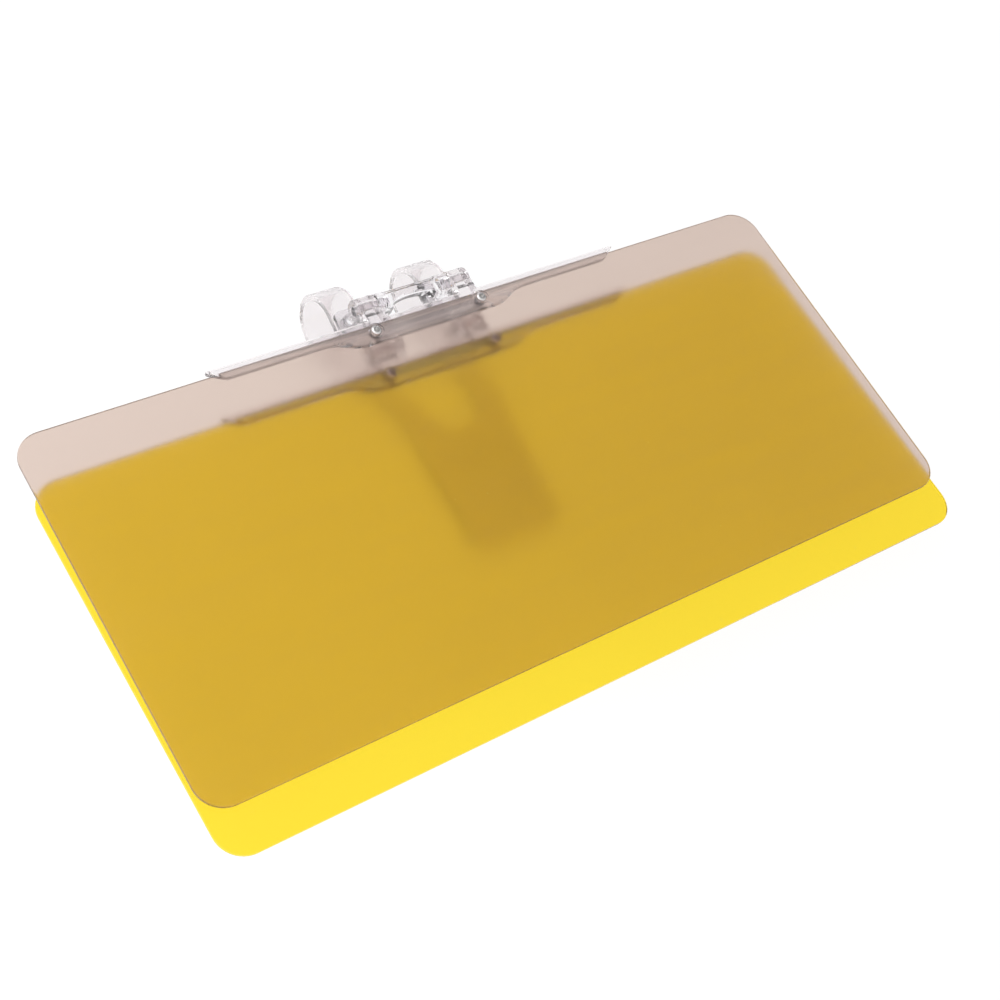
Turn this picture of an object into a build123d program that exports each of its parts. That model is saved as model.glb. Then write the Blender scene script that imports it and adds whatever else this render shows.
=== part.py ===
"""Clip-on day and night sun visor for a car: two hinged tinted lenses on a clear spring clip.

The visor lies on a table on the back of its clip, with the lenses facing up.
X runs along the lenses' long edges, +Y points to the hinge side and +Z is up.
The origin is the centre of the bottom of the bounding box.

Most pieces are drawn in a lens's own face frame: x along its hinge edge, y up the face and past
that edge (y = 0 is the edge), and z out of the front face (z = 0). The clip and the yoke are
drawn in the day lens's face frame.
"""

import os
from math import asin, atan2, cos, degrees, hypot, radians, sin

from build123d import *

os.makedirs("parts", exist_ok=True)

# Lenses
LENS_WIDTH = 315.0
LENS_HEIGHT = 135.6
LENS_THICKNESS = 1.6
LENS_CORNER = 10.0
LENS_EDGE_ROUND = 0.4

# Hinge lines
AXIS_ABOVE_EDGE = 8.6
AXIS_AHEAD_OF_FACE = -2.0
NIGHT_SHIFT_Y = -14.6
NIGHT_SHIFT_Z = -7.5
NIGHT_TILT = 1.4

# Clear rail on each lens's hinge edge
RAIL_HALF_LENGTH = 89.5
RAIL_THICKNESS = 2.0
RAIL_CAP_TOP = 1.9
RAIL_CAP_WRAP = 0.3
RAIL_NARROW = 3.2
RAIL_WIDE = 7.5
RAIL_WIDE_HALF = 26.0
RAIL_FLARE_HALF = 44.0
RAIL_END_SLANT = 8.0
RAIL_END_ROUND = 5.0
RAIL_TIP_ROUND = 0.8
RAIL_EDGE_ROUND = 0.6
RAIL_TOP_BEVEL = 1.3
BARREL_RADIUS = 4.2
BARREL_INNER_X = 15.6
BARREL_OUTER_X = 24.2
BARREL_END_ROUND = 0.8
NECK_INSET = 0.8
NECK_BACK = 4.2

# Rail screws and nuts
SCREW_X = 22.8
SCREW_BELOW_EDGE = 3.3
SCREW_RADIUS = 0.95
SCREW_HOLE_RADIUS = 1.1
SCREW_HEAD_RADIUS = 1.8
SCREW_HEAD_HEIGHT = 1.4
SCREW_HEAD_ROUND = 0.9
SCREW_HEAD_SUNK = 0.5
SCREW_HEAD_GAP = 0.15
CROSS_LENGTH = 1.9
CROSS_WIDTH = 0.5
CROSS_DEPTH = 0.8
CROSS_TURN = 25.0
BOSS_RADIUS = 2.8
BOSS_HEIGHT = 0.6
NUT_RADIUS = 2.2
NUT_THICKNESS = 1.0

# Hinge pins
PIN_RADIUS = 1.8
RUNNING_CLEARANCE = 0.05
PIN_END_BEVEL = 0.3
PIN_END_SETBACK = 0.2

# Yoke that carries both hinge lines
LUG_INNER_X = 11.2
LUG_OUTER_X = 15.2
LUG_RADIUS = 4.0
BAR_TOP = 12.4
BAR_BACK = -5.0
BAR_FRONT = -0.6
BAR_EDGE_ROUND = 0.8
ARCH_BOTTOM = 5.0
ARCH_TOP = 9.2
ARCH_HALF = 9.6
PAD_THICKNESS = 1.8
PAD_OUTER_X = 25.4
PAD_HEIGHT = 9.4
PAD_CORNER = 2.0

# Spring clip
CLIP_THICKNESS = 2.2
CLIP_HALF_WIDTH = 26.0
STRIP_INNER_X = 14.0
BEND_RADIUS = 12.5
BEND_Y = 20.0
BEND_Z = -26.0
LEG_SLANT = 12.0
LEG_LENGTH = 10.9
PINCH_Y = -30.0
PINCH_Z = -20.5
PINCH_ROUND = 14.0
TONGUE_LENGTH = 50.0
TONGUE_LIFT = 5.2
LIP_RADIUS = 6.0
LIP_TURN = 55.0
WINDOW_WAIST = -4.0
WINDOW_BOTTOM = -39.0
WINDOW_BOTTOM_HALF = 9.0
WINDOW_ROUND = 5.0
NECK_HALF_WIDTH = 21.0
TONGUE_HALF_WIDTH = 17.5
TONGUE_CORNER = 8.0
RIM_START = 16.0
RIM_WIDTH = 5.0
RIM_HEIGHT = 0.9

# Clear rivets that hold the yoke on the clip's front legs
RIVET_X = 20.5
RIVET_RADIUS = 1.5
RIVET_HEAD_RADIUS = 2.7
RIVET_HEAD_HEIGHT = 0.9
RIVET_HEAD_ROUND = 0.5

CUT_REACH = 100.0
SIDES = {"left": -1, "right": 1}

# The clip's middle line: a slanted front leg, a round bend, a rising arm, the tongue and its lip.
bend_mid_radius = BEND_RADIUS - CLIP_THICKNESS / 2
pinch_reach = hypot(BEND_Y - PINCH_Y, PINCH_Z - BEND_Z)
arm_lift = degrees(atan2(PINCH_Z - BEND_Z, BEND_Y - PINCH_Y) + asin(bend_mid_radius / pinch_reach))
leg_top = (
    BEND_Y - bend_mid_radius * sin(radians(LEG_SLANT)),
    BEND_Z + bend_mid_radius * cos(radians(LEG_SLANT)),
)
leg_end = (
    leg_top[0] - LEG_LENGTH * cos(radians(LEG_SLANT)),
    leg_top[1] - LEG_LENGTH * sin(radians(LEG_SLANT)),
)
leg_middle = ((leg_top[0] + leg_end[0]) / 2, (leg_top[1] + leg_end[1]) / 2)
arm_start = (
    BEND_Y - bend_mid_radius * sin(radians(arm_lift)),
    BEND_Z - bend_mid_radius * cos(radians(arm_lift)),
)
tongue_end = (
    PINCH_Y - TONGUE_LENGTH * cos(radians(TONGUE_LIFT)),
    PINCH_Z - TONGUE_LENGTH * sin(radians(TONGUE_LIFT)),
)
lip_angle = radians(TONGUE_LIFT + LIP_TURN)
lip_tip = (
    tongue_end[0] + LIP_RADIUS * (sin(radians(TONGUE_LIFT)) - sin(lip_angle)),
    tongue_end[1] - LIP_RADIUS * (cos(radians(TONGUE_LIFT)) - cos(lip_angle)),
)

# The clip rests on its bend and on its lip, which tilts the lenses on the table.
rest_span = hypot(BEND_Y - lip_tip[0], BEND_Z - lip_tip[1])
TILT = degrees(asin(bend_mid_radius / rest_span) - atan2(BEND_Z - lip_tip[1], BEND_Y - lip_tip[0]))


def table_y(y, z):
    """How far along the table a face-frame point lies from the face frame's origin."""
    return y * cos(radians(TILT)) - z * sin(radians(TILT))


def table_z(y, z):
    """How high a face-frame point lies above the face frame's origin."""
    return y * sin(radians(TILT)) + z * cos(radians(TILT))


axis_spot = (AXIS_ABOVE_EDGE, AXIS_AHEAD_OF_FACE)
night_axis = (axis_spot[0] + NIGHT_SHIFT_Y, axis_spot[1] + NIGHT_SHIFT_Z)
night_reach = AXIS_ABOVE_EDGE + LENS_HEIGHT
night_low_edge = (
    night_axis[0] - night_reach * cos(radians(NIGHT_TILT)),
    night_axis[1] + night_reach * sin(radians(NIGHT_TILT)),
)
box_back = table_y(BEND_Y, BEND_Z) + BEND_RADIUS
box_front = table_y(night_low_edge[0], night_low_edge[1])
ORIGIN_Y = -(box_back + box_front) / 2
ORIGIN_Z = BEND_RADIUS - table_z(BEND_Y, BEND_Z)


def plane_at(y, z, lift=0.0):
    """Plane at a face-frame point: its y axis rises `lift` degrees more than the day lens's face."""
    rise = radians(TILT + lift)
    point = (0, ORIGIN_Y + table_y(y, z), ORIGIN_Z + table_z(y, z))
    return Plane(origin=point, x_dir=(1, 0, 0), z_dir=(0, -sin(rise), cos(rise)))


def side_of(face, x=0.0):
    """Plane across a face plane at a given x: sketches on it use that face's y and z."""
    return Plane(origin=face.origin, x_dir=face.y_dir, z_dir=(1, 0, 0)).offset(x)


def make_lens(face):
    """Thin flat lens with round corners, softened edges and two screw holes."""
    with BuildPart() as lens:
        with BuildSketch(face.offset(-LENS_THICKNESS)):
            with Locations((0, -LENS_HEIGHT / 2)):
                RectangleRounded(LENS_WIDTH, LENS_HEIGHT, LENS_CORNER)
        extrude(amount=LENS_THICKNESS)
        fillet(lens.faces().sort_by(SortBy.AREA)[-2:].edges(), LENS_EDGE_ROUND)
        with BuildSketch(face):
            with Locations((-SCREW_X, -SCREW_BELOW_EDGE), (SCREW_X, -SCREW_BELOW_EDGE)):
                Circle(SCREW_HOLE_RADIUS)
        extrude(amount=-LENS_THICKNESS, mode=Mode.SUBTRACT)
    return lens


def make_rail(face):
    """Clear rail over a lens's hinge edge, with two hinge barrels and two screw seats."""
    end_low = RAIL_HALF_LENGTH - RAIL_END_SLANT
    flare_middle = (RAIL_FLARE_HALF + RAIL_WIDE_HALF) / 2
    barrel_width = BARREL_OUTER_X - BARREL_INNER_X
    cap_half = RAIL_HALF_LENGTH - RAIL_END_SLANT / 2
    hinge_plane = Plane(face.from_local_coords((0, *axis_spot)), x_dir=(1, 0, 0), z_dir=face.z_dir)
    hinge_line = Axis(hinge_plane.origin, (1, 0, 0))
    with BuildPart() as rail:
        with BuildSketch(face) as plate:
            with BuildLine():
                Line((0, RAIL_CAP_TOP), (RAIL_HALF_LENGTH, RAIL_CAP_TOP))
                Line((RAIL_HALF_LENGTH, RAIL_CAP_TOP), (end_low, -RAIL_NARROW))
                Line((end_low, -RAIL_NARROW), (RAIL_FLARE_HALF, -RAIL_NARROW))
                Bezier(
                    (RAIL_FLARE_HALF, -RAIL_NARROW),
                    (flare_middle, -RAIL_NARROW),
                    (flare_middle, -RAIL_WIDE),
                    (RAIL_WIDE_HALF, -RAIL_WIDE),
                )
                Line((RAIL_WIDE_HALF, -RAIL_WIDE), (0, -RAIL_WIDE))
                mirror(about=Plane.YZ)
            make_face()
            corners = plate.vertices().sort_by(Axis.X)
            fillet([corners[0], corners[-1]], RAIL_TIP_ROUND)
            corners = plate.vertices().filter_by(lambda v: v.Y < 0).sort_by(Axis.X)
            fillet([corners[0], corners[-1]], RAIL_END_ROUND)
        extrude(amount=RAIL_THICKNESS)
        fillet(rail.faces().sort_by(Axis(face.origin, face.z_dir))[-1].edges(), RAIL_EDGE_ROUND)
        with BuildSketch(side_of(face, -RAIL_HALF_LENGTH)):
            with BuildLine():
                Polyline(
                    (RAIL_CAP_TOP - RAIL_TOP_BEVEL, RAIL_THICKNESS),
                    (RAIL_CAP_TOP, RAIL_THICKNESS - RAIL_TOP_BEVEL),
                    (RAIL_CAP_TOP, RAIL_THICKNESS),
                    close=True,
                )
            make_face()
        extrude(amount=2 * RAIL_HALF_LENGTH, mode=Mode.SUBTRACT)
        with BuildSketch(side_of(face, -cap_half)):
            with Locations((0, -LENS_THICKNESS - RAIL_CAP_WRAP)):
                cap_depth = LENS_THICKNESS + RAIL_CAP_WRAP + (RAIL_THICKNESS - RAIL_TOP_BEVEL) / 2
                Rectangle(RAIL_CAP_TOP, cap_depth, align=(Align.MIN, Align.MIN))
        extrude(amount=2 * cap_half)
        for side in SIDES.values():
            screw_spot = (side * SCREW_X, -SCREW_BELOW_EDGE)
            with BuildSketch(hinge_plane) as barrel:
                with Locations((side * (BARREL_INNER_X + barrel_width / 2), BARREL_RADIUS / 2)):
                    Rectangle(barrel_width, BARREL_RADIUS)
                fillet(barrel.vertices().group_by(Axis.Y)[-1], BARREL_END_ROUND)
            revolve(axis=hinge_line)
            with BuildSketch(side_of(face, side * (BARREL_INNER_X + NECK_INSET))):
                with Locations((0, -NECK_BACK)):
                    neck_depth = NECK_BACK + RAIL_THICKNESS
                    Rectangle(AXIS_ABOVE_EDGE, neck_depth, align=(Align.MIN, Align.MIN))
            extrude(amount=side * (barrel_width - 2 * NECK_INSET))
            with BuildSketch(side_of(face, side * BARREL_INNER_X)):
                with Locations(axis_spot):
                    Circle(PIN_RADIUS + RUNNING_CLEARANCE)
            extrude(amount=side * barrel_width, mode=Mode.SUBTRACT)
            with BuildSketch(face.offset(RAIL_THICKNESS / 2)):
                with Locations(screw_spot):
                    Circle(BOSS_RADIUS)
            extrude(amount=BOSS_HEIGHT + RAIL_THICKNESS / 2)
            with BuildSketch(face.offset(RAIL_THICKNESS - SCREW_HEAD_SUNK)):
                with Locations(screw_spot):
                    Circle(SCREW_HEAD_RADIUS + SCREW_HEAD_GAP)
            extrude(amount=BOSS_HEIGHT + SCREW_HEAD_SUNK, mode=Mode.SUBTRACT)
            with BuildSketch(face):
                with Locations(screw_spot):
                    Circle(SCREW_HOLE_RADIUS)
            extrude(amount=RAIL_THICKNESS, mode=Mode.SUBTRACT)
    return rail


def make_screw(face, side):
    """Small pan-head screw with a cross recess, set through the rail and the lens."""
    seat = RAIL_THICKNESS - SCREW_HEAD_SUNK
    spot = (side * SCREW_X, -SCREW_BELOW_EDGE)
    with BuildPart() as screw:
        with BuildSketch(face.offset(seat)):
            with Locations(spot):
                Circle(SCREW_HEAD_RADIUS)
        extrude(amount=SCREW_HEAD_HEIGHT)
        fillet(screw.faces().sort_by(Axis(face.origin, face.z_dir))[-1].edges(), SCREW_HEAD_ROUND)
        with BuildSketch(face.offset(seat)):
            with Locations(spot):
                Circle(SCREW_RADIUS)
        extrude(amount=-(seat + LENS_THICKNESS + NUT_THICKNESS))
        with BuildSketch(face.offset(seat + SCREW_HEAD_HEIGHT)):
            with Locations(spot):
                Rectangle(CROSS_LENGTH, CROSS_WIDTH, rotation=side * CROSS_TURN)
                Rectangle(CROSS_WIDTH, CROSS_LENGTH, rotation=side * CROSS_TURN)
        extrude(amount=-CROSS_DEPTH, mode=Mode.SUBTRACT)
    return screw


def make_nut(face, side):
    """Thin hexagonal nut on the back of a lens."""
    with BuildPart() as nut:
        with BuildSketch(face.offset(-LENS_THICKNESS)):
            with Locations((side * SCREW_X, -SCREW_BELOW_EDGE)):
                RegularPolygon(NUT_RADIUS, 6)
                Circle(SCREW_RADIUS, mode=Mode.SUBTRACT)
        extrude(amount=-NUT_THICKNESS)
    return nut


def make_pin(face, side):
    """Clear hinge pin that joins a rail's barrel to the yoke's lug."""
    inner_x = LUG_INNER_X + PIN_END_SETBACK
    with BuildPart() as pin:
        with BuildSketch(side_of(face, side * inner_x)):
            with Locations(axis_spot):
                Circle(PIN_RADIUS)
        extrude(amount=side * (BARREL_OUTER_X - inner_x))
        chamfer(pin.edges(), PIN_END_BEVEL)
    return pin


def make_clip():
    """Clear spring clip: two bent strips that join behind the lenses in one stiffened tongue."""
    with BuildPart() as clip:
        with BuildSketch(side_of(FACE)):
            with BuildLine():
                Line(leg_end, leg_top)
                CenterArc((BEND_Y, BEND_Z), bend_mid_radius, 90 + LEG_SLANT, -180 - LEG_SLANT - arm_lift)
                FilletPolyline(arm_start, (PINCH_Y, PINCH_Z), tongue_end, radius=PINCH_ROUND)
                tongue_way = (-cos(radians(TONGUE_LIFT)), -sin(radians(TONGUE_LIFT)))
                JernArc(tongue_end, tongue_way, LIP_RADIUS, LIP_TURN)
            trace(line_width=CLIP_THICKNESS)
            with Locations(leg_end, lip_tip):
                Circle(CLIP_THICKNESS / 2)
        extrude(amount=CLIP_HALF_WIDTH, both=True)
        tongue_back = plane_at(PINCH_Y, PINCH_Z, TONGUE_LIFT).offset(-CLIP_THICKNESS / 2)
        with BuildSketch(tongue_back):
            with Locations((0, -RIM_START)):
                rim_length = TONGUE_LENGTH - RIM_START
                Rectangle(2 * CLIP_HALF_WIDTH, rim_length, align=(Align.CENTER, Align.MAX))
            with BuildLine():
                Polyline(
                    (TONGUE_HALF_WIDTH - RIM_WIDTH, -TONGUE_LENGTH),
                    (NECK_HALF_WIDTH - RIM_WIDTH, -RIM_START - RIM_WIDTH),
                    (RIM_WIDTH - NECK_HALF_WIDTH, -RIM_START - RIM_WIDTH),
                    (RIM_WIDTH - TONGUE_HALF_WIDTH, -TONGUE_LENGTH),
                    close=True,
                )
            make_face(mode=Mode.SUBTRACT)
        extrude(amount=-RIM_HEIGHT)
        with BuildSketch(FACE.offset(-CUT_REACH)) as outline:
            with BuildLine():
                tip_y = lip_tip[0] - CLIP_THICKNESS
                Polyline(
                    (CLIP_HALF_WIDTH, CUT_REACH),
                    (CLIP_HALF_WIDTH, 0),
                    (NECK_HALF_WIDTH, PINCH_Y),
                    (TONGUE_HALF_WIDTH, tip_y),
                    (-TONGUE_HALF_WIDTH, tip_y),
                    (-NECK_HALF_WIDTH, PINCH_Y),
                    (-CLIP_HALF_WIDTH, 0),
                    (-CLIP_HALF_WIDTH, CUT_REACH),
                    close=True,
                )
            make_face()
            fillet(outline.vertices().group_by(Axis.Y)[0], TONGUE_CORNER)
        extrude(amount=2 * CUT_REACH, mode=Mode.INTERSECT)
        with BuildSketch(FACE.offset(-CUT_REACH)) as window:
            with BuildLine():
                Polyline(
                    (STRIP_INNER_X, CUT_REACH),
                    (STRIP_INNER_X, WINDOW_WAIST),
                    (WINDOW_BOTTOM_HALF, WINDOW_BOTTOM),
                    (-WINDOW_BOTTOM_HALF, WINDOW_BOTTOM),
                    (-STRIP_INNER_X, WINDOW_WAIST),
                    (-STRIP_INNER_X, CUT_REACH),
                    close=True,
                )
            make_face()
            fillet(window.vertices().group_by(Axis.Y)[0], WINDOW_ROUND)
        extrude(amount=2 * CUT_REACH, mode=Mode.SUBTRACT)
        for side in SIDES.values():
            with BuildSketch(LEG_FRONT):
                with Locations((side * RIVET_X, 0)):
                    Circle(RIVET_RADIUS)
            extrude(amount=-CLIP_THICKNESS, mode=Mode.SUBTRACT)
    return clip


def make_yoke():
    """Clear yoke: two lugs joined by an arched bar, with a pad on each of the clip's front legs."""
    web_angle = atan2(NIGHT_SHIFT_Z, NIGHT_SHIFT_Y)
    web_y = -LUG_RADIUS * sin(web_angle)
    web_z = LUG_RADIUS * cos(web_angle)
    pad_middle_y = leg_middle[0] - CLIP_THICKNESS / 2 * sin(radians(LEG_SLANT))
    pad_middle_z = leg_middle[1] + CLIP_THICKNESS / 2 * cos(radians(LEG_SLANT))
    pad_half_y = PAD_HEIGHT / 2 * cos(radians(LEG_SLANT))
    pad_half_z = PAD_HEIGHT / 2 * sin(radians(LEG_SLANT))
    pad_width = PAD_OUTER_X - LUG_INNER_X
    with BuildPart() as yoke:
        with BuildSketch(FACE.offset(BAR_BACK)):
            with Locations((0, ARCH_BOTTOM)):
                bar_height = BAR_TOP - ARCH_BOTTOM
                Rectangle(2 * LUG_INNER_X, bar_height, align=(Align.CENTER, Align.MIN))
            with Locations((0, ARCH_BOTTOM)):
                Ellipse(ARCH_HALF, ARCH_TOP - ARCH_BOTTOM, mode=Mode.SUBTRACT)
        extrude(amount=BAR_FRONT - BAR_BACK)
        top_edges = yoke.faces().sort_by(Axis(FACE.origin, FACE.y_dir))[-1].edges().filter_by(Axis.X)
        fillet(top_edges, BAR_EDGE_ROUND)
        for side in SIDES.values():
            with BuildSketch(side_of(FACE, side * LUG_INNER_X)):
                with Locations(axis_spot, night_axis):
                    Circle(LUG_RADIUS)
                with BuildLine():
                    Polyline(
                        axis_spot,
                        (axis_spot[0] + web_y, axis_spot[1] + web_z),
                        (pad_middle_y + pad_half_y, pad_middle_z + pad_half_z),
                        (pad_middle_y - pad_half_y, pad_middle_z - pad_half_z),
                        (night_axis[0] + web_y, night_axis[1] + web_z),
                        night_axis,
                        close=True,
                    )
                make_face()
                with Locations(axis_spot):
                    Circle(PIN_RADIUS + RUNNING_CLEARANCE, mode=Mode.SUBTRACT)
                with Locations(night_axis):
                    Circle(PIN_RADIUS, mode=Mode.SUBTRACT)
            extrude(amount=side * (LUG_OUTER_X - LUG_INNER_X))
            with BuildSketch(LEG_FRONT) as pad:
                with Locations((side * (LUG_INNER_X + pad_width / 2), 0)):
                    Rectangle(pad_width, PAD_HEIGHT)
                fillet(pad.vertices().filter_by(lambda v: abs(v.X) > PAD_OUTER_X - 1), PAD_CORNER)
            extrude(amount=PAD_THICKNESS)
            with BuildSketch(LEG_FRONT):
                with Locations((side * RIVET_X, 0)):
                    Circle(RIVET_RADIUS)
            extrude(amount=PAD_THICKNESS, mode=Mode.SUBTRACT)
    return yoke


def make_rivet(side):
    """Clear rivet through a pad of the yoke and the clip's front leg, with a low head on each face."""
    stack = PAD_THICKNESS + CLIP_THICKNESS
    front = LEG_FRONT.offset(PAD_THICKNESS)
    with BuildPart() as rivet:
        with BuildSketch(front):
            with Locations((side * RIVET_X, 0)):
                Circle(RIVET_HEAD_RADIUS)
        extrude(amount=RIVET_HEAD_HEIGHT)
        with BuildSketch(front.offset(-stack)):
            with Locations((side * RIVET_X, 0)):
                Circle(RIVET_HEAD_RADIUS)
        extrude(amount=-RIVET_HEAD_HEIGHT)
        heads = rivet.faces().sort_by(Axis(front.origin, front.z_dir))
        fillet(heads[0].edges() + heads[-1].edges(), RIVET_HEAD_ROUND)
        with BuildSketch(front):
            with Locations((side * RIVET_X, 0)):
                Circle(RIVET_RADIUS)
        extrude(amount=-stack)
    return rivet


def save(built, name):
    """Label a finished piece and write its STEP file."""
    built.part.label = name
    export_step(built.part, f"parts/{name}.step")


FACE = plane_at(0, 0)
LEG_FRONT = plane_at(leg_middle[0], leg_middle[1], LEG_SLANT).offset(CLIP_THICKNESS / 2)
night_sin = sin(radians(NIGHT_TILT))
night_cos = cos(radians(NIGHT_TILT))
NIGHT_FACE = plane_at(
    night_axis[0] - AXIS_ABOVE_EDGE * night_cos - AXIS_AHEAD_OF_FACE * night_sin,
    night_axis[1] + AXIS_ABOVE_EDGE * night_sin - AXIS_AHEAD_OF_FACE * night_cos,
    -NIGHT_TILT,
)

save(make_clip(), "clip_body")
save(make_yoke(), "hinge_yoke")
for side_name, side in SIDES.items():
    save(make_rivet(side), f"yoke_rivet_{side_name}")
for lens_name, face in {"day": FACE, "night": NIGHT_FACE}.items():
    save(make_lens(face), f"{lens_name}_lens")
    save(make_rail(face), f"{lens_name}_rail")
    for side_name, side in SIDES.items():
        save(make_screw(face, side), f"{lens_name}_rail_screw_{side_name}")
        save(make_nut(face, side), f"{lens_name}_rail_nut_{side_name}")
        save(make_pin(face, side), f"{lens_name}_hinge_pin_{side_name}")
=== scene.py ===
"""Looks of the clip-on day and night sun visor: see-through plastic, small steel screws and soft light.

Everything is in metres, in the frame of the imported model: +X along the lenses, +Y to the hinge, +Z up.
"""

from math import cos, radians, sin

import bpy
from mathutils import Matrix, Vector

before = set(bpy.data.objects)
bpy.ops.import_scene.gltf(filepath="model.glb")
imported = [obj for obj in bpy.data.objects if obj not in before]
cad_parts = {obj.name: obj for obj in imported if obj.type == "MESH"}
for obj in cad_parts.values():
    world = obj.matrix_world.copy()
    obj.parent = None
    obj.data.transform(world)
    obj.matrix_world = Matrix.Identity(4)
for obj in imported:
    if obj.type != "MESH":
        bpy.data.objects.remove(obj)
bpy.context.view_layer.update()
scene = bpy.context.scene

SIDES = ("left", "right")
LENSES = ("day", "night")

# Camera: where it stands, which way it looks, and its focal length on a 36 mm frame.
CAMERA_PLACE = Vector((-0.3142, -0.2359, 0.4777))
CAMERA_AZIMUTH = -54.19
CAMERA_ELEVATION = 50.62
CAMERA_ROLL = 25.42
CAMERA_LENS = 61.63

# World light: how bright it is all round and on the dark screen, and where the screen is.
# The screen's edge is a range of cosines of the angle from its middle.
WORLD_LIGHT = 0.95
WORLD_COLOUR = (1.0, 0.985, 0.99)
SCREEN_LIGHT = 0.22
SCREEN_AZIMUTH = 62.0
SCREEN_ELEVATION = 52.0
SCREEN_EDGE = (0.55, 0.93)

# Floor: its half size in metres, how much it reflects, and its glow from the left end to the middle; the
# extra glow at the left end is painted side light.
FLOOR_HALF_SIZE = 3.0
FLOOR_SHADE = 0.1
GLOW_FROM_X, GLOW_TO_X = -0.17, 0.02
GLOW_LEFT_WITH_PAINTED_SIDE_LIGHT, GLOW_MIDDLE = 1.02, 0.94

# Surface detail: scales are features per metre and heights are metres.
DUST_SCALE, DUST_SIZE, DUST_SHARE = 160.0, 0.055, 0.10
CLOUD_SCALE, CLOUD_SHADE = 14.0, 0.985
WIPE_SCALE, WIPE_STRETCH = 40.0, (0.25, 3.0, 1.0)
FLOW_SCALE, FLOW_STRETCH, FLOW_SHADE, FLOW_HEIGHT = 90.0, (0.4, 1.0, 1.0), 0.965, 0.00003
SCUFF_SCALE, SCUFF_STRETCH = 900.0, (1.0, 0.2, 0.2)
MARK_SCALE, MARK_HEIGHT = 2500.0, 0.00001
PATCH_SCALE = 700.0


# ---------------------------------------------------------------- node helpers
def new_material(name):
    """A material with its default node tree, which holds the Principled shader; returns it with both."""
    material = bpy.data.materials.new(name)
    material.use_nodes = True
    tree = material.node_tree
    shader = next(n for n in tree.nodes if n.type == "BSDF_PRINCIPLED")
    return material, tree, shader


def add_node(tree, kind, **settings):
    """Adds a node and sets its properties, or its inputs where the name is an input's."""
    node = tree.nodes.new(kind)
    for key, value in settings.items():
        if key in node.inputs:
            node.inputs[key].default_value = value
        else:
            setattr(node, key, value)
    return node


def object_place(tree):
    """The surface point in the object's own coordinates, in metres."""
    return tree.nodes.new("ShaderNodeTexCoord").outputs["Object"]


def noise(tree, place, scale, detail=2.0, roughness=0.5, stretch=None):
    """Noise between 0 and 1 at a scale in features per metre, stretched along an axis if asked."""
    if stretch:
        mapping = tree.nodes.new("ShaderNodeMapping")
        mapping.inputs["Scale"].default_value = stretch
        tree.links.new(place, mapping.inputs["Vector"])
        place = mapping.outputs["Vector"]
    node = add_node(tree, "ShaderNodeTexNoise", Scale=scale, Detail=detail, Roughness=roughness)
    tree.links.new(place, node.inputs["Vector"])
    return node.outputs["Fac"]


def remap(tree, value, low, high, out_low, out_high):
    """Maps a value's range onto another, held at both ends."""
    node = add_node(tree, "ShaderNodeMapRange")
    for key, number in (("From Min", low), ("From Max", high), ("To Min", out_low), ("To Max", out_high)):
        node.inputs[key].default_value = number
    tree.links.new(value, node.inputs["Value"])
    return node.outputs["Result"]


def blend_colours(tree, share, first, second):
    """A colour that goes from the first to the second as share goes from 0 to 1."""
    node = add_node(tree, "ShaderNodeMix", data_type="RGBA")
    node.inputs[6].default_value = (*first, 1.0)
    node.inputs[7].default_value = (*second, 1.0)
    tree.links.new(share, node.inputs["Factor"])
    return node.outputs[2]


def specks(tree, place, scale, size, share):
    """1 on small round specks and 0 elsewhere. Only a share of the cells holds a speck."""
    cells = add_node(tree, "ShaderNodeTexVoronoi", Scale=scale, Randomness=1.0)
    tree.links.new(place, cells.inputs["Vector"])
    near = remap(tree, cells.outputs["Distance"], size * 0.6, size, 1.0, 0.0)
    split = tree.nodes.new("ShaderNodeSeparateColor")
    tree.links.new(cells.outputs["Color"], split.inputs["Color"])
    chosen = remap(tree, split.outputs["Red"], share, share * 1.02, 1.0, 0.0)
    both = add_node(tree, "ShaderNodeMath", operation="MULTIPLY")
    tree.links.new(near, both.inputs[0])
    tree.links.new(chosen, both.inputs[1])
    return both.outputs["Value"]


def bump(tree, shader, height, distance):
    """Raises the surface by the height value times a distance in metres."""
    node = add_node(tree, "ShaderNodeBump", Distance=distance, Strength=1.0)
    tree.links.new(height, node.inputs["Height"])
    tree.links.new(node.outputs["Normal"], shader.inputs["Normal"])


# ------------------------------------------------------------------- materials
def set_inputs(shader, **values):
    """Sets constant inputs of a shader: an underscore in a name stands for a space."""
    for key, value in values.items():
        shader.inputs[key.replace("_", " ")].default_value = value


def lens_material(name, colour, speck_colour, depth_colour, depth_density, haze, bend, clarity):
    """Tinted see-through sheet: dyed through, faintly hazy, with wipe marks and a little dust."""
    material, tree, shader = new_material(name)
    place = object_place(tree)
    dust = specks(tree, place, DUST_SCALE, DUST_SIZE, DUST_SHARE)
    cloud = noise(tree, place, CLOUD_SCALE, 3.0)
    wiped = noise(tree, place, WIPE_SCALE, 4.0, 0.6, stretch=WIPE_STRETCH)
    clouded = remap(tree, cloud, 0.3, 0.7, 0.0, 1.0)
    tint = blend_colours(tree, clouded, colour, [c * CLOUD_SHADE for c in colour])
    dusty = add_node(tree, "ShaderNodeMix", data_type="RGBA")
    tree.links.new(dust, dusty.inputs["Factor"])
    tree.links.new(tint, dusty.inputs[6])
    dusty.inputs[7].default_value = (*speck_colour, 1.0)
    tree.links.new(dusty.outputs[2], shader.inputs["Base Color"])
    rough = remap(tree, wiped, 0.3, 0.75, haze * 0.9, haze * 1.15)
    tree.links.new(rough, shader.inputs["Roughness"])
    set_inputs(shader, Transmission_Weight=clarity, IOR=bend)
    soak = add_node(tree, "ShaderNodeVolumeAbsorption", Density=depth_density)
    soak.inputs["Color"].default_value = (*depth_colour, 1.0)
    output = next(n for n in tree.nodes if n.type == "OUTPUT_MATERIAL")
    tree.links.new(soak.outputs["Volume"], output.inputs["Volume"])
    return material


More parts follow.
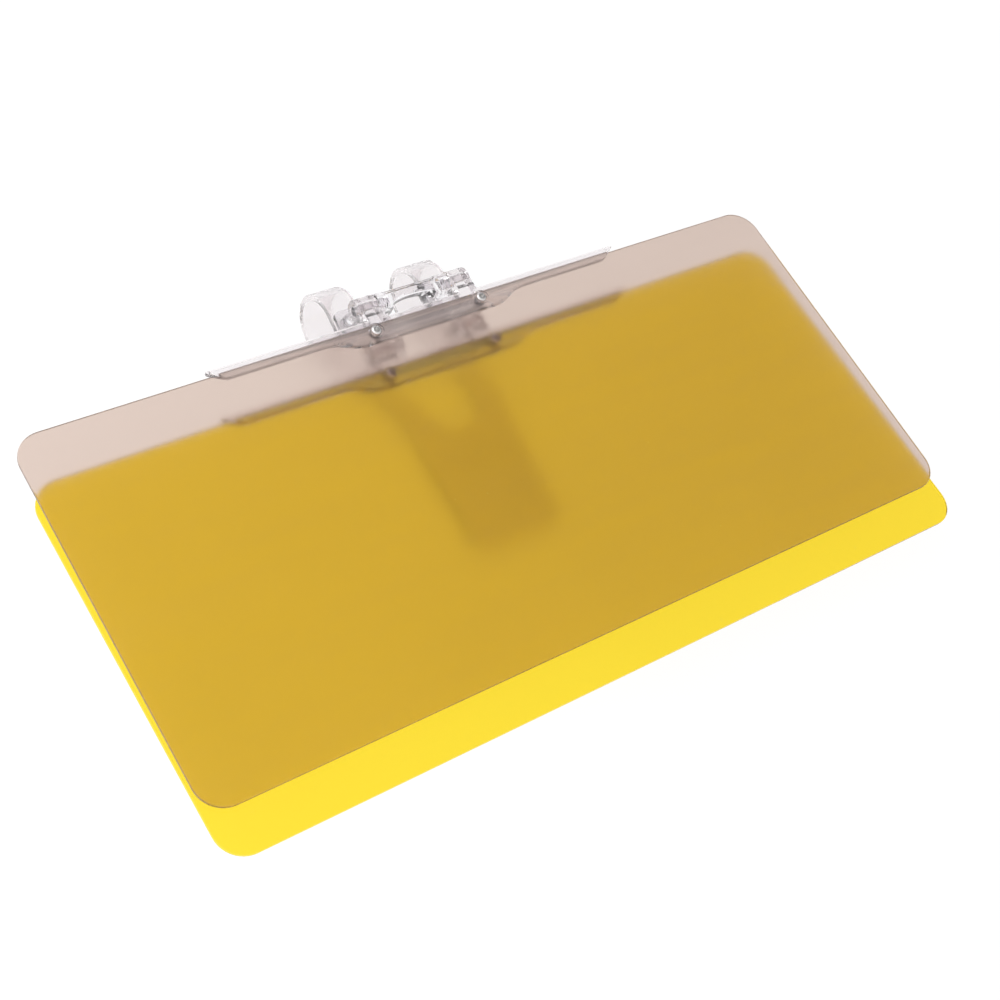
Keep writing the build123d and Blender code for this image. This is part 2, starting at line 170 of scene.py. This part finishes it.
def clear_material(name, colour, smooth, scuffed, bend, clarity):
    """Clear moulded plastic, a little milky, with slow flow ripples and fine scuffs."""
    material, tree, shader = new_material(name)
    place = object_place(tree)
    flow = noise(tree, place, FLOW_SCALE, 2.0, stretch=FLOW_STRETCH)
    scuffs = noise(tree, place, SCUFF_SCALE, 3.0, 0.65, stretch=SCUFF_STRETCH)
    tint = blend_colours(tree, flow, colour, [c * FLOW_SHADE for c in colour])
    tree.links.new(tint, shader.inputs["Base Color"])
    rough = remap(tree, scuffs, 0.4, 0.75, smooth, scuffed)
    tree.links.new(rough, shader.inputs["Roughness"])
    set_inputs(shader, Transmission_Weight=clarity, IOR=bend)
    bump(tree, shader, flow, FLOW_HEIGHT)
    return material


def steel_material():
    """Bright plated steel with fine turning marks and a few dull patches."""
    material, tree, shader = new_material("screw_steel")
    place = object_place(tree)
    marks = noise(tree, place, MARK_SCALE, 3.0, 0.6)
    patches = remap(tree, noise(tree, place, PATCH_SCALE, 2.0), 0.35, 0.7, 0.0, 1.0)
    tint = blend_colours(tree, patches, (0.93, 0.92, 0.91), (0.78, 0.77, 0.76))
    tree.links.new(tint, shader.inputs["Base Color"])
    rough = remap(tree, marks, 0.3, 0.7, 0.22, 0.4)
    tree.links.new(rough, shader.inputs["Roughness"])
    set_inputs(shader, Metallic=1.0)
    bump(tree, shader, marks, MARK_HEIGHT)
    return material


def floor_material():
    """Plain pale light table: it glows evenly under the visor, and a little more at the left end, which
    is painted side light from the left.
    """
    material, tree, shader = new_material("pale_floor")
    shade = (FLOOR_SHADE, FLOOR_SHADE, FLOOR_SHADE, 1.0)
    set_inputs(shader, Base_Color=shade, Roughness=0.9, Specular_IOR_Level=0.0,
               Emission_Color=(1.0, 1.0, 1.0, 1.0))
    along = add_node(tree, "ShaderNodeSeparateXYZ")
    tree.links.new(object_place(tree), along.inputs["Vector"])
    # Even glow, plus painted side light that makes the floor brighter towards the left end.
    glow_and_painted_side_light = remap(tree, along.outputs["X"], GLOW_FROM_X, GLOW_TO_X, GLOW_LEFT_WITH_PAINTED_SIDE_LIGHT, GLOW_MIDDLE)
    tree.links.new(glow_and_painted_side_light, shader.inputs["Emission Strength"])
    return material


def paint(material, *names):
    """Gives CAD nodes one material in every slot."""
    for name in names:
        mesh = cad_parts[name].data
        mesh.materials.clear()
        mesh.materials.append(material)


grey_lens = lens_material(
    "grey_lens", colour=(0.80, 0.68, 0.605), speck_colour=(0.9, 0.85, 0.82),
    depth_colour=(0.55, 0.30, 0.25), depth_density=80.0, haze=0.37, bend=1.4, clarity=1.0)
yellow_lens = lens_material(
    "yellow_lens", colour=(1.0, 0.91, 0.065), speck_colour=(1.0, 0.95, 0.6),
    depth_colour=(1.0, 0.5, 0.02), depth_density=200.0, haze=0.14, bend=1.25, clarity=0.97)
satin_plastic = clear_material(
    "satin_clear_plastic", colour=(0.965, 0.93, 0.94), smooth=0.14, scuffed=0.24, bend=1.32,
    clarity=0.93)
clear_plastic = clear_material(
    "clear_plastic", colour=(0.985, 0.97, 0.985), smooth=0.02, scuffed=0.09, bend=1.4, clarity=0.97)
screw_steel = steel_material()

paint(grey_lens, "day_lens")
paint(yellow_lens, "night_lens")
paint(satin_plastic, "clip_body")
paint(clear_plastic, "hinge_yoke")
for side in SIDES:
    paint(clear_plastic, f"yoke_rivet_{side}")
for lens in LENSES:
    paint(satin_plastic, f"{lens}_rail")
    for side in SIDES:
        paint(clear_plastic, f"{lens}_hinge_pin_{side}")
        paint(screw_steel, f"{lens}_rail_screw_{side}", f"{lens}_rail_nut_{side}")


# ----------------------------------------------------------------------- stage
def make_floor():
    """A wide pale floor that the visor lies on."""
    half = FLOOR_HALF_SIZE
    mesh = bpy.data.meshes.new("floor")
    corners = [(-half, -half, 0.0), (half, -half, 0.0), (half, half, 0.0), (-half, half, 0.0)]
    mesh.from_pydata(corners, [], [(0, 1, 2, 3)])
    mesh.materials.append(floor_material())
    floor = bpy.data.objects.new("floor", mesh)
    scene.collection.objects.link(floor)


def soft_box(name, azimuth, elevation, distance, size, power):
    """A square soft light that faces the visor. Azimuth 0 is +Y and 90 is +X."""
    light = bpy.data.lights.new(name, "AREA")
    light.shape = "SQUARE"
    light.size = size
    light.energy = power
    lamp = bpy.data.objects.new(name, light)
    turn, rise = radians(azimuth), radians(elevation)
    way = Vector((sin(turn) * cos(rise), cos(turn) * cos(rise), sin(rise)))
    lamp.location = way * distance
    lamp.rotation_euler = way.to_track_quat("Z", "Y").to_euler()
    scene.collection.objects.link(lamp)


def make_camera():
    """The camera, at the viewing angle of the reference."""
    data = bpy.data.cameras.new("camera")
    data.sensor_width = 36.0
    data.lens = CAMERA_LENS
    data.clip_start = 0.01
    camera = bpy.data.objects.new("camera", data)
    turn, rise = radians(CAMERA_AZIMUTH), radians(CAMERA_ELEVATION)
    back = Vector((sin(turn) * cos(rise), -cos(turn) * cos(rise), sin(rise)))
    aim = (-back).to_track_quat("-Z", "Y").to_matrix().to_4x4()
    roll = Matrix.Rotation(radians(CAMERA_ROLL), 4, "Z")
    camera.matrix_world = Matrix.Translation(CAMERA_PLACE) @ aim @ roll
    scene.collection.objects.link(camera)
    scene.camera = camera


def make_world():
    """Even white light from all round, and a dark screen high on the right against glare."""
    world = bpy.data.worlds.new("world")
    world.use_nodes = True
    tree = world.node_tree
    way = tree.nodes.new("ShaderNodeTexCoord").outputs["Generated"]
    facing = add_node(tree, "ShaderNodeVectorMath", operation="DOT_PRODUCT")
    turn, rise = radians(SCREEN_AZIMUTH), radians(SCREEN_ELEVATION)
    facing.inputs[1].default_value = (sin(turn) * cos(rise), cos(turn) * cos(rise), sin(rise))
    tree.links.new(way, facing.inputs[0])
    shade = remap(tree, facing.outputs["Value"], *SCREEN_EDGE, WORLD_LIGHT, SCREEN_LIGHT)
    background = tree.nodes["Background"]
    tree.links.new(shade, background.inputs["Strength"])
    background.inputs["Color"].default_value = (*WORLD_COLOUR, 1.0)
    scene.world = world


make_floor()
soft_box("left_light", azimuth=-85, elevation=24, distance=1.5, size=1.4, power=6.0)
soft_box("back_light", azimuth=-25, elevation=30, distance=1.6, size=0.8, power=6.0)
make_camera()
make_world()
scene.view_settings.view_transform = "Standard"
